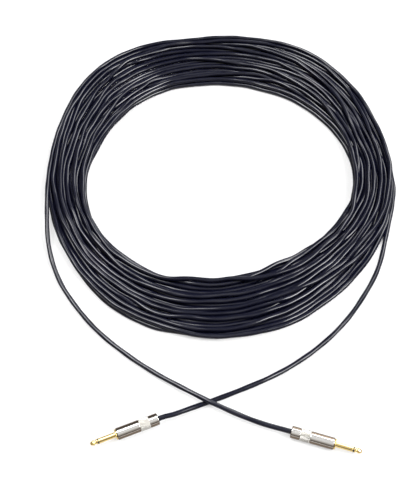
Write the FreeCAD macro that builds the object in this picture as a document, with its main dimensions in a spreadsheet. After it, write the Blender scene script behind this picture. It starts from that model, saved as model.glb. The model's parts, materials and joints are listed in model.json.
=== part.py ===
import FreeCAD, Part
import math
import os
from types import SimpleNamespace

import Sketcher

# Instrument cable: one long cord wound in a loose four-layer coil, with a two-contact
# quarter-inch plug on each end. Lengths are millimetres, angles degrees, +Z is up and the
# floor is z = 0. The origin lies on the floor, midway between the two plugs.

Vector = FreeCAD.Vector
UP = Vector(0, 0, 1)

# name, value, what it is
DRIVING_SIZES = [
    ("cord_diameter", 6.0, "outside diameter of the jacket"),
    ("finger_diameter", 6.35, "quarter-inch finger"),
    ("finger_length", 30.5, "flange face to the end of the tip"),
    ("tip_length", 8.7, "end of the tip back to the insulating ring"),
    ("tip_collar_length", 0.9, "full-width collar of the tip against the ring"),
    ("tip_neck_diameter", 4.4, "waist that the jack's spring catches"),
    ("tip_neck_start", 5.6, "front end of the waist, from the end of the tip"),
    ("tip_neck_length", 0.9, "straight part of the waist"),
    ("tip_shoulder", 4.4, "widest point of the ball, from the end of the tip"),
    ("tip_nose_diameter", 2.6, "flat nose of the tip"),
    ("tip_nose_bulge", 7.0, "radius of the curve from the ball to the nose"),
    ("ring_width", 1.5, "insulating ring between tip and sleeve"),
    ("rod_diameter", 2.5, "rod of the tip contact"),
    ("rivet_diameter", 3.6, "riveted head of the rod"),
    ("rivet_height", 0.8, "height of that head"),
    ("sleeve_bore", 4.9, "bore of the sleeve contact"),
    ("flange_diameter", 12.6, "flange in front of the barrel"),
    ("flange_thickness", 1.6, "thickness of that flange"),
    ("flange_edge", 0.35, "chamfer of the flange"),
    ("thread_pitch", 0.8, "advance of the barrel in one turn"),
    ("thread_turns", 8.0, "turns until the barrel comes off its thread"),
    ("thread_relief", 1.0, "undercut between thread and flange"),
    ("thread_depth", 0.45, "depth of that undercut"),
    ("thread_clearance", 0.075, "running clearance of the thread, on the radius"),
    ("barrel_length", 51.0, "rear face to front face"),
    ("barrel_diameter", 14.3, "smooth part of the barrel"),
    ("barrel_wall", 1.15, "wall of the smooth part"),
    ("barrel_rear_wall", 2.7, "wall at the cord's end"),
    ("barrel_edge", 0.6, "chamfer of both ends"),
    ("barrel_seat_gap", 0.2, "barrel's front face to the flange"),
    ("rear_opening_gap", 1.3, "room around the cord in the rear opening, on the radius"),
    ("rear_opening_edge", 0.5, "chamfer of the rear opening"),
    ("knurl_diameter", 14.7, "knurled band"),
    ("knurl_start", 11.2, "rear face to the band"),
    ("knurl_length", 11.8, "length of the band"),
    ("knurl_groove", 0.5, "width and depth of the groove at each end of the band"),
    ("liner_wall", 0.4, "wall of the insulating liner"),
    ("liner_clearance", 0.3, "room around the liner"),
    ("fit_clearance", 0.05, "room between pieces pressed together, on the radius"),
    ("terminal_thickness", 0.7, "sheet of both terminals"),
    ("bend_radius", 0.3, "inside radius of their bends"),
    ("ground_ring_inset", 1.325, "edge of the land to the edge of the ground terminal's ring"),
    ("ground_strip_width", 3.6, "strip of the ground terminal"),
    ("ground_step_start", 16.5, "land to the step that lifts the strip under the cord"),
    ("ground_step_length", 2.6, "length of that step"),
    ("clamp_wall", 0.8, "wings of the cable clamp"),
    ("clamp_length", 6.0, "length of the wings along the cord"),
    ("clamp_gap", 2.2, "gap left between the wings' edges"),
    ("clamp_setback", 1.5, "jacket's end to the wings"),
    ("rear_washer_gap", 0.35, "edge of the insulating washer to the ground terminal's strip"),
    ("rear_washer_thickness", 1.2, "thickness of that washer"),
    ("lug_width", 3.4, "width of the tip terminal"),
    ("lug_height", 2.9, "axis to the edge of the tip terminal's plate"),
    ("lug_shelf", 1.7, "straight shelf over the rivet"),
    ("lug_slope", 3.2, "slope from the shelf to the solder pad"),
    ("lug_pad", 4.4, "length of the solder pad"),
    ("lug_eye", 1.3, "eye in the solder pad"),
    ("bare_wire", 3.5, "centre wire bared between its insulation and the solder pad"),
    ("core_diameter", 3.0, "insulation of the centre wire"),
    ("core_length", 3.4, "insulation left in front of the jacket"),
    ("wire_diameter", 0.9, "centre conductor"),
    ("solder_spread", 1.1, "solder joint's foot on each side of its wire"),
    ("solder_cover", 0.5, "solder above the wire"),
    ("pigtail_diameter", 1.1, "twisted screen"),
    ("pigtail_drop", 2.35, "axis to the pigtail where it leaves the jacket"),
    ("pigtail_straight", 1.4, "straight start of the pigtail"),
    ("pigtail_slope", 2.6, "length of its slope down to the strip"),
    ("pigtail_foot", 3.6, "length that lies on the strip"),
    ("left_plug_x", -78.8, "left plug: centre of the barrel's rear face"),
    ("left_plug_y", 17.9, "the same, across"),
    ("left_plug_heading", 202.0, "direction of the finger"),
    ("right_plug_x", 76.5, "right plug: centre of the barrel's rear face"),
    ("right_plug_y", 2.0, "the same, across"),
    ("right_plug_heading", 343.0, "direction of the finger"),
    ("coil_centre_x", -3.3, "centre of the coil"),
    ("coil_centre_y", 381.5, "the same, across"),
    ("coil_inner_right", 190.0, "innermost turn's radius on the right side"),
    ("coil_inner_back", 196.0, "the same at the back"),
    ("coil_inner_left", 190.0, "the same on the left side"),
    ("coil_inner_front", 191.5, "the same at the front"),
    ("coil_gap_right", 3.7, "gap between neighbouring turns on the right side"),
    ("coil_gap_back", 5.0, "the same at the back, where the turns fan out"),
    ("coil_gap_left", 2.9, "the same on the left side"),
    ("coil_gap_front", 3.6, "the same at the front"),
    ("coil_skew", 12.0, "how much the top layer's front bulges to the left and draws in to the right"),
    ("coil_bulge_right_back", 8.0, "how far the outermost turn bulges between right and back"),
    ("coil_bulge_back_left", 14.0, "the same between back and left"),
    ("coil_bulge_left_front", -7.0, "the same between left and front, where it draws in"),
    ("coil_bulge_front_right", -7.0, "the same between front and right"),
    ("layer_turns", 5.0, "whole turns of a layer between two climbs"),
    ("layer_gap", 1.0, "gap between neighbouring layers"),
    ("layer_shift", 8.7, "how much further back each layer lies"),
    ("coil_flat", 0.5, "depth of the flat that the coil stands on"),
    ("lead_straight", 38.0, "straight start of a lead beside the coil"),
    ("plug_lead_straight", 25.0, "straight end of a lead behind its barrel"),
]

# Routes of the free stretches between the coil and the straight end behind each plug:
# x, y and the height of the cord's underside above the floor, counted in cord diameters.
# The second route passes over the first in a long low hump.
LEFT_PLUG_ROUTE = [
    (219.5, 267.0, 0.0),
    (197.0, 213.0, 0.0),
    (163.0, 161.0, 0.0),
    (115.5, 112.5, 0.0),
    (57.0, 73.5, 0.0),
    (-4.0, 47.0, 0.0),
]
RIGHT_PLUG_ROUTE = [
    (-238.0, 285.0, 1.4),
    (-224.0, 230.0, 0.0),
    (-194.0, 177.0, 0.0),
    (-151.0, 130.0, 0.0),
    (-100.0, 91.0, 0.0),
    (-43.0, 58.0, 2.0),
    (6.0, 34.0, 2.0),
]


class Length:
    """A length that is known both as an expression on the sheet and as its present number."""

    def __init__(self, text, number):
        self.text = text
        self.number = number

    @staticmethod
    def of(value):
        return value if isinstance(value, Length) else Length(repr(float(value)), float(value))

    def __add__(self, other):
        other = Length.of(other)
        return Length(f"({self.text} + {other.text})", self.number + other.number)

    def __sub__(self, other):
        other = Length.of(other)
        return Length(f"({self.text} - {other.text})", self.number - other.number)

    def __mul__(self, factor):
        factor = Length.of(factor)
        return Length(f"({self.text} * {factor.text})", self.number * factor.number)

    def __truediv__(self, divisor):
        divisor = Length.of(divisor)
        return Length(f"({self.text} / {divisor.text})", self.number / divisor.number)

    def __neg__(self):
        return Length(f"(-{self.text})", -self.number)


def make_sheet(doc):
    """Write the driving sizes to a spreadsheet and return them as Lengths."""
    sheet = doc.addObject("Spreadsheet::Sheet", "Sizes")
    lengths = {}
    for row, (name, value, meaning) in enumerate(DRIVING_SIZES, start=1):
        sheet.set(f"A{row}", name)
        sheet.set(f"B{row}", str(value))
        sheet.set(f"C{row}", meaning)
        sheet.setAlias(f"B{row}", name)
        lengths[name] = Length(f"Sizes.{name}", value)
    doc.recompute()
    return SimpleNamespace(**lengths)


# Sketches and features


def make_body(doc, label, placement):
    body = doc.addObject("PartDesign::Body", label)
    body.Label = label
    body.Placement = placement
    return body


def origin_plane(body, role):
    return next(item for item in body.Origin.OriginFeatures if item.Role == role)


def make_sketch(body, name, role, forward=None, lift=None):
    """An empty sketch on one of the body's planes, moved forward in it or lifted off it."""
    sketch = body.newObject("Sketcher::SketchObject", name)
    sketch.AttachmentSupport = [(origin_plane(body, role), "")]
    sketch.MapMode = "FlatFace"
    if forward is not None:
        sketch.AttachmentOffset.Base = Vector(forward.number, 0, 0)
        sketch.setExpression("AttachmentOffset.Base.x", forward.text)
    if lift is not None:
        sketch.setExpression("AttachmentOffset.Base.z", lift.text)
    return sketch


def bind(sketch, index, length):
    sketch.setExpression(f"Constraints[{index}]", Length.of(length).text)


def place_point(sketch, geometry, end, x, y):
    """Fix one end of a piece of geometry at x, y, each held by its own size."""
    for kind, axis, value in (("DistanceX", -2, Length.of(x)), ("DistanceY", -1, Length.of(y))):
        if value.number == 0:
            sketch.addConstraint(Sketcher.Constraint("PointOnObject", geometry, end, axis))
        else:
            index = sketch.addConstraint(
                Sketcher.Constraint(kind, -1, 1, geometry, end, value.number)
            )
            bind(sketch, index, value)


def arc_centre(start, end, radius, side):
    """Centre of the arc from start to end; side +1 puts it left of the way there, -1 right."""
    middle = (start + end) * 0.5
    chord = end - start
    rise = math.sqrt(radius**2 - (chord.Length / 2) ** 2)
    across = Vector(-chord.y, chord.x, 0)
    across.normalize()
    return middle + across * (rise * side)


def draw_outline(sketch, corners):
    """A closed outline. A corner is x, y, and for an arc to the next one its radius and side."""
    points = [Vector(Length.of(c[0]).number, Length.of(c[1]).number, 0) for c in corners]
    ends = []
    for i, corner in enumerate(corners):
        start = points[i]
        finish = points[(i + 1) % len(points)]
        if len(corner) == 2:
            index = sketch.addGeometry(Part.LineSegment(start, finish))
            ends.append((index, 1, 2))
            continue
        radius, side = Length.of(corner[2]), corner[3]
        centre = arc_centre(start, finish, radius.number, side)
        circle = Part.Circle(centre, UP, radius.number)
        first, last = (start, finish) if side > 0 else (finish, start)
        from_angle = math.atan2(first.y - centre.y, first.x - centre.x)
        to_angle = math.atan2(last.y - centre.y, last.x - centre.x)
        index = sketch.addGeometry(Part.ArcOfCircle(circle, from_angle, to_angle))
        bind(sketch, sketch.addConstraint(Sketcher.Constraint("Radius", index, radius.number)), radius)
        ends.append((index, 1, 2) if side > 0 else (index, 2, 1))
    for i, corner in enumerate(corners):
        index, begin, _ = ends[i]
        before, _, finish = ends[i - 1]
        sketch.addConstraint(Sketcher.Constraint("Coincident", before, finish, index, begin))
        place_point(sketch, index, begin, corner[0], corner[1])


def draw_circle(sketch, radius, x=0, y=0):
    """A circle held by its radius and the place of its centre."""
    centre = Vector(Length.of(x).number, Length.of(y).number, 0)
    index = sketch.addGeometry(Part.Circle(centre, UP, radius.number))
    bind(sketch, sketch.addConstraint(Sketcher.Constraint("Radius", index, radius.number)), radius)
    place_point(sketch, index, 3, x, y)


def revolve(body, name, corners, forward=None, axis="H_Axis", role="XY_Plane"):
    """A full turn of an outline about the sketch's own horizontal or vertical axis."""
    sketch = make_sketch(body, name + "_outline", role, forward=forward)
    draw_outline(sketch, corners)
    turned = body.newObject("PartDesign::Revolution", name)
    turned.Profile = sketch
    turned.ReferenceAxis = (sketch, [axis])
    turned.Angle = 360
    body.Tip = turned
    return turned


def pad(body, sketch, name, length, centred=False):
    feature = body.newObject("PartDesign::Pad", name)
    feature.Profile = sketch
    feature.setExpression("Length", length.text)
    feature.Midplane = centred
    body.Tip = feature
    return feature


def pocket(body, sketch, name, length):
    """A cut centred on its sketch; fails if it takes nothing away."""
    body.Document.recompute()
    before = body.Shape.Volume
    feature = body.newObject("PartDesign::Pocket", name)
    feature.Profile = sketch
    feature.setExpression("Length", length.text)
    feature.Midplane = True
    body.Tip = feature
    body.Document.recompute()
    if body.Shape.Volume >= before:
        raise RuntimeError(f"{body.Label}: {name} cuts nothing")
    return feature


def round_bends(body, name, radius, places):
    """Round the edges across a bent strip that pass through the given x, z places."""
    body.Document.recompute()
    base = body.Tip
    chosen = []
    for number, edge in enumerate(base.Shape.Edges, start=1):
        if not isinstance(edge.Curve, Part.Line) or abs(edge.Curve.Direction.y) < 0.99:
            continue
        start = edge.Vertexes[0].Point
        if any(math.hypot(start.x - x.number, start.z - z.number) < 0.01 for x, z in places):
            chosen.append(f"Edge{number}")
    if len(chosen) < len(places):
        raise RuntimeError(f"{body.Label}: {name} finds {len(chosen)} of {len(places)} bends")
    feature = body.newObject("PartDesign::Fillet", name)
    feature.Base = (base, chosen)
    feature.setExpression("Radius", radius.text)
    body.Tip = feature
    return feature


# Places along a plug: x runs from the barrel's rear face towards the tip


def plug_stations(s):
    """Where each piece of the plug starts and the radii that pieces share, worked out once."""
    at = SimpleNamespace()
    at.flange_back = s.barrel_length + s.barrel_seat_gap
    at.flange_front = at.flange_back + s.flange_thickness
    at.tip_end = at.flange_front + s.finger_length
    at.ring_front = at.tip_end - s.tip_length
    at.ring_back = at.ring_front - s.ring_width
    at.land_back = at.flange_back - s.thread_relief - s.thread_pitch * s.thread_turns
    at.ground_back = at.land_back - s.terminal_thickness
    at.washer_back = at.ground_back - s.rear_washer_thickness
    at.lug_back = at.washer_back - s.terminal_thickness
    at.rivet_back = at.lug_back - s.rivet_height
    at.pad_front = at.lug_back - s.lug_shelf - s.lug_slope
    at.pad_back = at.pad_front - s.lug_pad
    at.wire_front = at.pad_front - s.fit_clearance
    at.core_front = at.pad_back - s.bare_wire
    at.jacket_end = at.core_front - s.core_length
    at.lug_solder = at.pad_back + s.lug_pad / 2
    at.clamp_front = at.jacket_end - s.clamp_setback
    at.clamp_back = at.clamp_front - s.clamp_length
    at.step_front = at.land_back - s.ground_step_start
    at.step_back = at.step_front - s.ground_step_length
    at.pigtail_landing = at.jacket_end + s.pigtail_straight + s.pigtail_slope
    at.ground_solder = at.pigtail_landing + s.pigtail_foot / 2
    at.liner_back = s.barrel_rear_wall + s.liner_clearance
    at.liner_front = at.land_back - s.liner_clearance
    # radii, and the height of the ground terminal's strip
    at.bore = s.barrel_diameter / 2 - s.barrel_wall
    at.land = at.bore - s.thread_clearance
    at.ground_ring = at.land - s.ground_ring_inset
    at.strip_bottom = -(at.ground_ring + s.fit_clearance)
    at.strip_top = at.strip_bottom + s.terminal_thickness
    return at


def make_barrel(doc, label, placement, s, at):
    """Turned handle: rear opening, two chamfered ends and a knurled band between two grooves."""
    body = make_body(doc, label, placement)
    opening = s.cord_diameter / 2 + s.rear_opening_gap
    outside = s.barrel_diameter / 2
    band = s.knurl_diameter / 2
    groove_floor = outside - s.knurl_groove
    band_end = s.knurl_start + s.knurl_length
    revolve(body, "turned_barrel", [
        (0, opening + s.rear_opening_edge),
        (0, outside - s.barrel_edge),
        (s.barrel_edge, outside),
        (s.knurl_start - s.knurl_groove, outside),
        (s.knurl_start - s.knurl_groove, groove_floor),
        (s.knurl_start, groove_floor),
        (s.knurl_start, band),
        (band_end, band),
        (band_end, groove_floor),
        (band_end + s.knurl_groove, groove_floor),
        (band_end + s.knurl_groove, outside),
        (s.barrel_length - s.barrel_edge, outside),
        (s.barrel_length, outside - s.barrel_edge),
        (s.barrel_length, at.bore),
        (s.barrel_rear_wall, at.bore),
        (s.barrel_rear_wall, opening),
        (s.rear_opening_edge, opening),
    ])
    return body


def make_liner(doc, label, placement, s, at):
    """Thin insulating tube between the terminals and the barrel."""
    body = make_body(doc, label, placement)
    outside = at.bore - s.liner_clearance
    inside = outside - s.liner_wall
    sketch = make_sketch(body, "tube_section", "YZ_Plane", lift=at.liner_back)
    draw_circle(sketch, outside)
    draw_circle(sketch, inside)
    pad(body, sketch, "tube", at.liner_front - at.liner_back)
    return body


def make_sleeve_contact(doc, label, placement, s, at):
    """Finger, flange and threaded land turned in one piece, with an undercut behind the flange."""
    body = make_body(doc, label, placement)
    bore = s.sleeve_bore / 2
    undercut = at.land - s.thread_depth
    flange = s.flange_diameter / 2
    finger = s.finger_diameter / 2
    relief_back = at.flange_back - s.thread_relief
    revolve(body, "turned_sleeve", [
        (at.land_back, bore),
        (at.land_back, at.land - s.flange_edge),
        (at.land_back + s.flange_edge, at.land),
        (relief_back, at.land),
        (relief_back, undercut),
        (at.flange_back, undercut),
        (at.flange_back, flange - s.flange_edge),
        (at.flange_back + s.flange_edge, flange),
        (at.flange_front - s.flange_edge, flange),
        (at.flange_front, flange - s.flange_edge),
        (at.flange_front, finger),
        (at.ring_back, finger),
        (at.ring_back, bore),
    ])
    return body


def make_tip_contact(doc, label, placement, s, at):
    """Ball tip with collar and waist, and the rod that runs back to its riveted head."""
    body = make_body(doc, label, placement)
    rod = s.rod_diameter / 2
    rivet = s.rivet_diameter / 2
    full = s.finger_diameter / 2
    neck = s.tip_neck_diameter / 2
    nose = s.tip_nose_diameter / 2
    neck_front = at.tip_end - s.tip_neck_start
    neck_back = neck_front - s.tip_neck_length
    collar_front = at.ring_front + s.tip_collar_length
    shoulder = at.tip_end - s.tip_shoulder
    revolve(body, "turned_tip", [
        (at.rivet_back, 0),
        (at.rivet_back, rivet),
        (at.lug_back, rivet),
        (at.lug_back, rod),
        (at.ring_front, rod),
        (at.ring_front, full),
        (collar_front, full),
        (neck_back, neck),
        (neck_front, neck),
        (shoulder, full, s.tip_nose_bulge, -1),
        (at.tip_end, nose),
        (at.tip_end, 0),
    ])
    return body


def make_ring_insulator(doc, label, placement, s, at):
    """Black ring that parts tip from sleeve."""
    body = make_body(doc, label, placement)
    sketch = make_sketch(body, "ring_section", "YZ_Plane", lift=at.ring_back)
    draw_circle(sketch, s.finger_diameter / 2)
    draw_circle(sketch, s.rod_diameter / 2 + s.fit_clearance)
    pad(body, sketch, "ring", s.ring_width)
    return body


def make_tube_insulator(doc, label, placement, s, at):
    """Tube that fills the sleeve's bore around the rod, through the ground terminal."""
    body = make_body(doc, label, placement)
    sketch = make_sketch(body, "tube_section", "YZ_Plane", lift=at.ground_back)
    draw_circle(sketch, s.sleeve_bore / 2 - s.fit_clearance)
    draw_circle(sketch, s.rod_diameter / 2 + s.fit_clearance)
    pad(body, sketch, "tube", at.ring_back - at.ground_back)
    return body


def make_rear_washer(doc, label, placement, s, at):
    """Insulating washer between the two terminals."""
    body = make_body(doc, label, placement)
    sketch = make_sketch(body, "washer_section", "YZ_Plane", lift=at.washer_back)
    draw_circle(sketch, -at.strip_top - s.rear_washer_gap)
    draw_circle(sketch, s.rod_diameter / 2 + s.fit_clearance)
    pad(body, sketch, "washer", s.rear_washer_thickness)
    return body


def make_ground_terminal(doc, label, placement, s, at):
    """Ring under the land, strip that steps up under the cord, and two wings bent round it."""
    body = make_body(doc, label, placement)
    sheet = s.terminal_thickness
    low = at.strip_bottom
    wing_inside = s.cord_diameter / 2 + s.fit_clearance
    wing_outside = wing_inside + s.clamp_wall
    saddle = -wing_inside - s.fit_clearance

    ring = make_sketch(body, "ring_section", "YZ_Plane", lift=at.ground_back)
    draw_circle(ring, at.ground_ring)
    draw_circle(ring, s.sleeve_bore / 2)
    pad(body, ring, "ring", sheet)

    side = make_sketch(body, "strip_side", "XZ_Plane")
    draw_outline(side, [
        (at.land_back, low),
        (at.land_back, low + sheet * 2),
        (at.ground_back, low + sheet * 2),
        (at.ground_back, low + sheet),
        (at.step_front, low + sheet),
        (at.step_back, saddle),
        (at.clamp_back, saddle),
        (at.clamp_back, saddle - sheet),
        (at.step_back, saddle - sheet),
        (at.step_front, low),
    ])
    pad(body, side, "strip", s.ground_strip_width, centred=True)
    round_bends(body, "inside_of_bends", s.bend_radius, [
        (at.ground_back, low + sheet),
        (at.step_front, low),
        (at.step_back, saddle),
    ])
    round_bends(body, "outside_of_bends", s.bend_radius + sheet, [
        (at.land_back, low),
        (at.step_front, low + sheet),
        (at.step_back, saddle - sheet),
    ])

    wings = make_sketch(body, "wing_section", "YZ_Plane", lift=at.clamp_back)
    draw_circle(wings, wing_outside)
    draw_circle(wings, wing_inside)
    pad(body, wings, "wings", s.clamp_length)

    opening = make_sketch(body, "wing_gap", "XY_Plane", lift=wing_outside)
    half_gap = s.clamp_gap / 2
    draw_outline(opening, [
        (at.clamp_back - sheet, -half_gap),
        (at.clamp_front + sheet, -half_gap),
        (at.clamp_front + sheet, half_gap),
        (at.clamp_back - sheet, half_gap),
    ])
    pocket(body, opening, "gap_between_wings", wing_outside)
    return body


def make_tip_terminal(doc, label, placement, s, at):
    """Plate under the rivet, shelf over it and a solder pad with an eye on the cord's axis."""
    body = make_body(doc, label, placement)
    sheet = s.terminal_thickness
    top = s.lug_height
    pad_top = -(s.wire_diameter / 2)
    shelf_back = at.lug_back - s.lug_shelf
    side = make_sketch(body, "lug_side", "XZ_Plane")
    draw_outline(side, [
        (at.washer_back, -top),
        (at.washer_back, top),
        (shelf_back, top),
        (at.pad_front, pad_top),
        (at.pad_back, pad_top),
        (at.pad_back, pad_top - sheet),
        (at.pad_front, pad_top - sheet),
        (shelf_back, top - sheet),
        (at.lug_back, top - sheet),
        (at.lug_back, -top),
    ])
    pad(body, side, "lug", s.lug_width, centred=True)
    round_bends(body, "inside_of_bends", s.bend_radius, [
        (at.lug_back, top - sheet),
        (shelf_back, top - sheet),
        (at.pad_front, pad_top),
    ])
    round_bends(body, "outside_of_bends", s.bend_radius + sheet, [
        (at.washer_back, top),
        (shelf_back, top),
        (at.pad_front, pad_top - sheet),
    ])

    bore = make_sketch(body, "rod_hole", "YZ_Plane", lift=at.washer_back)
    draw_circle(bore, s.rod_diameter / 2 + s.fit_clearance)
    pocket(body, bore, "hole_for_rod", sheet * 2)

    eye = make_sketch(body, "eye_circle", "XY_Plane", lift=pad_top)
    draw_circle(eye, s.lug_eye / 2, x=at.lug_solder)
    pocket(body, eye, "eye", sheet * 3)
    return body


def make_cable_core(doc, label, placement, s, at):
    """Insulation of the centre wire, bared in front of the jacket's end."""
    body = make_body(doc, label, placement)
    sketch = make_sketch(body, "core_section", "YZ_Plane", lift=at.jacket_end)
    draw_circle(sketch, s.core_diameter / 2)
    pad(body, sketch, "core", s.core_length)
    return body


def make_centre_wire(doc, label, placement, s, at):
    """Centre conductor from the core to the end of the solder pad."""
    body = make_body(doc, label, placement)
    sketch = make_sketch(body, "wire_section", "YZ_Plane", lift=at.core_front)
    draw_circle(sketch, s.wire_diameter / 2)
    pad(body, sketch, "wire", at.wire_front - at.core_front)
    return body


def make_solder(doc, label, placement, s, place, foot, wire_radius):
    """Domed solder joint on a strip, with the channel that its wire fills."""
    body = make_body(doc, label, placement)
    radius = wire_radius + s.solder_spread
    height = wire_radius * 2 + s.solder_cover
    ball = (radius * radius + height * height) / (height * 2)
    revolve(body, "dome", [
        (0, foot),
        (radius, foot, ball, 1),
        (0, foot + height),
    ], forward=place, axis="V_Axis", role="XZ_Plane")
    channel = make_sketch(body, "channel_section", "YZ_Plane", lift=place)
    draw_circle(channel, wire_radius + s.fit_clearance, y=foot + wire_radius)
    pocket(body, channel, "channel", radius * 4)
    return body


# Cords


def arc_edge(start, corner, finish):
    """Arc from start to finish, tangent to both legs of the corner, which are equally long."""
    leg = (corner - start).Length
    middle = (start + finish) * 0.5
    half_chord = (finish - start).Length / 2
    towards_corner = corner - middle
    rise = half_chord * (leg - half_chord) / towards_corner.Length
    return Part.Arc(start, middle + towards_corner.normalize() * rise, finish).toShape()


def biarc(start, start_way, finish, finish_way):
    """Two arcs that leave start and reach finish in the given directions and meet smoothly."""
    span = finish - start
    ways = start_way + finish_way
    a = ways.dot(ways) - 4
    b = -2 * span.dot(ways)
    c = span.dot(span)
    root = math.sqrt(b * b - 4 * a * c)
    leg = min(r for r in ((-b + root) / (2 * a), (-b - root) / (2 * a)) if r > 0)
    first_corner = start + start_way * leg
    last_corner = finish - finish_way * leg
    joint = (first_corner + last_corner) * 0.5
    return [arc_edge(start, first_corner, joint), arc_edge(joint, last_corner, finish)]


def tube_along(edges, radius, way):
    """Round tube on a path of lines and arcs, checked against its section times its length."""
    path = Part.Wire(edges)
    start = edges[0].valueAt(edges[0].FirstParameter)
    section = Part.Wire(Part.Circle(start, way, radius).toShape())
    tube = path.makePipeShell([section], True, False)
    expected = math.pi * radius**2 * path.Length
    if abs(tube.Volume - expected) > 0.002 * expected:
        raise RuntimeError(f"tube volume {tube.Volume:.0f} is not {expected:.0f}")
    return tube


def route_edges(points, label):
    """Straight runs joined by arcs as large as the runs allow; prints their radii."""
    edges = []
    radii = []
    here = points[0]
    for before, corner, after in zip(points, points[1:], points[2:]):
        back = before - corner
        ahead = after - corner
        leg = 0.45 * min(back.Length, ahead.Length)
        turn = math.pi - back.getAngle(ahead)
        radii.append(leg / math.tan(turn / 2))
        start = corner + back.normalize() * leg
        finish = corner + ahead.normalize() * leg
        edges.append(Part.LineSegment(here, start).toShape())
        edges.append(arc_edge(start, corner, finish))
        here = finish
    edges.append(Part.LineSegment(here, points[-1]).toShape())
    print(f"{label}: {len(points)} points, radii " + ", ".join(f"{r:.0f}" for r in radii))
    return edges


def smooth_step(t):
    """0 before t = 0, 1 after t = 1, level at both ends."""
    t = min(max(t, 0.0), 1.0)
    return t * t * (3 - 2 * t)


class Coil:
    """Centre line of the coil: four layers, wound in, out, in and out again.

    A turn's place in its layer is counted in steps from the innermost turn. The radius on
    each side of the coil is that side's inner radius plus the steps times that side's
    pitch, and between two sides it passes from one to the other. Half-way between two sides
    the outer turns bulge or draw in. The higher the layer, the more its front is skewed to
    the left. The cord climbs to the next layer in the half turn where it changes between
    winding in and winding out.
    """

    def __init__(self, s):
        n = s.layer_turns.number
        cord = s.cord_diameter.number
        sides = ("right", "back", "left", "front")
        self.inner = [getattr(s, f"coil_inner_{side}").number for side in sides]
        self.pitch = [cord + getattr(s, f"coil_gap_{side}").number for side in sides]
        self.bulge = [
            s.coil_bulge_right_back.number,
            s.coil_bulge_back_left.number,
            s.coil_bulge_left_front.number,
            s.coil_bulge_front_right.number,
        ]
        self.centre = Vector(s.coil_centre_x.number, s.coil_centre_y.number, 0)
        self.rise = cord + s.layer_gap.number
        self.shift = s.layer_shift.number
        self.skew = s.coil_skew.number
        self.floor_height = cord / 2 - s.coil_flat.number
        self.flat = s.coil_flat.number
        # turns, first and last step, first and last layer
        self.stretches = [
            (n + 0.5, n + 0.5, 0, 0, 0),
            (0.5, 0, 0, 0, 1),
            (n, 0, n, 1, 1),
            (0.5, n, n, 1, 2),
            (n, n, 0, 2, 2),
            (0.5, 0, 0, 2, 3),
            (n + 0.5, 0, n + 0.5, 3, 3),
        ]
        self.turns = sum(stretch[0] for stretch in self.stretches)
        self.last_step = n + 0.5
        starts = [sum(st[0] for st in self.stretches[:i]) for i in range(len(self.stretches))]
        self.climbs = [starts[i] for i in (1, 3, 5)]

    def state(self, turn):
        """Step within the layer, and the layer, at a place counted in turns."""
        left = turn
        for length, first, last, lower, upper in self.stretches:
            if left <= length:
                break
            left -= length
        part = min(left / length, 1.0)
        return first + (last - first) * part, lower + (upper - lower) * smooth_step(part)

    def point(self, turn):
        step, layer = self.state(turn)
        quarter, part = divmod(turn * 4, 1)
        near, far = int(quarter) % 4, (int(quarter) + 1) % 4
        blend = math.sin(part * math.pi / 2) ** 2
        near_radius = self.inner[near] + self.pitch[near] * step
        far_radius = self.inner[far] + self.pitch[far] * step
        radius = near_radius * (1 - blend) + far_radius * blend
        radius += self.bulge[near] * math.sin(part * math.pi) ** 2 * step / self.last_step
        angle = 2 * math.pi * turn
        front = max(-math.sin(angle), 0.0)
        radius += self.skew * layer / len(self.climbs) * math.sin(2 * angle) * front
        # each layer moves back a little just before its climb, where that opens the gap
        moved = sum(smooth_step((turn - climb + 0.1) / 0.35) for climb in self.climbs)
        back = (moved - len(self.climbs) / 2) * self.shift
        height = self.floor_height + self.rise * layer
        height += self.flat * (1 - smooth_step(turn * 2))
        return self.centre + Vector(radius * math.cos(angle), back + radius * math.sin(angle), height)

    def way(self, turn):
        """Direction of the cord at a place counted in turns, level at both ends."""
        step = 0.002
        before = self.point(max(turn - step, 0.0))
        after = self.point(min(turn + step, self.turns))
        return (after - before).normalize()

    def edges(self, straight):
        """Eighth-turn biarcs, with a straight end of one diameter at each end."""
        edges = []
        for eighth in range(round(self.turns * 8)):
            here, there = eighth / 8, (eighth + 1) / 8
            edges += biarc(self.point(here), self.way(here), self.point(there), self.way(there))
        first, last = self.ends(straight)
        first_line = Part.LineSegment(first, self.point(0)).toShape()
        last_line = Part.LineSegment(self.point(self.turns), last).toShape()
        return [first_line] + edges + [last_line]

    def ends(self, straight):
        """Both ends of the coil, at the tips of its straight ends."""
        first = self.point(0) - self.way(0) * straight
        last = self.point(self.turns) + self.way(self.turns) * straight
        return first, last


def least_gap(edges, diameter):
    """Least gap of a coiled tube to itself, from points along its centre line to its runs."""
    spacing = diameter / 2
    points = []
    for edge in edges:
        count = max(int(edge.Length / spacing), 2)
        points += edge.discretize(Number=count + 1)[:-1]
    cell = 2 * diameter
    shelves = {}
    for i, point in enumerate(points):
        key = (int(point.x // cell), int(point.y // cell), int(point.z // cell))
        shelves.setdefault(key, []).append(i)
    skipped = 40
    least = cell
    around = [(i, j, k) for i in (-1, 0, 1) for j in (-1, 0, 1) for k in (-1, 0, 1)]
    for (x, y, z), here in shelves.items():
        near = [j for i, j_, k in around for j in shelves.get((x + i, y + j_, z + k), ())]
        for i in here:
            for j in near:
                if j > i + skipped and j + 1 < len(points):
                    least = min(least, distance_to_run(points[i], points[j], points[j + 1]))
    return least - diameter


def distance_to_run(point, start, finish):
    run = finish - start
    part = min(max((point - start).dot(run) / run.dot(run), 0.0), 1.0)
    return (point - (start + run * part)).Length


def add_shape(doc, label, shape):
    """A finished solid as a document object, with the solid alone as its shape."""
    feature = doc.addObject("Part::Feature", label)
    feature.Label = label
    feature.Shape = shape.Solids[0]
    feature.Placement = FreeCAD.Placement()
    return feature


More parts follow.
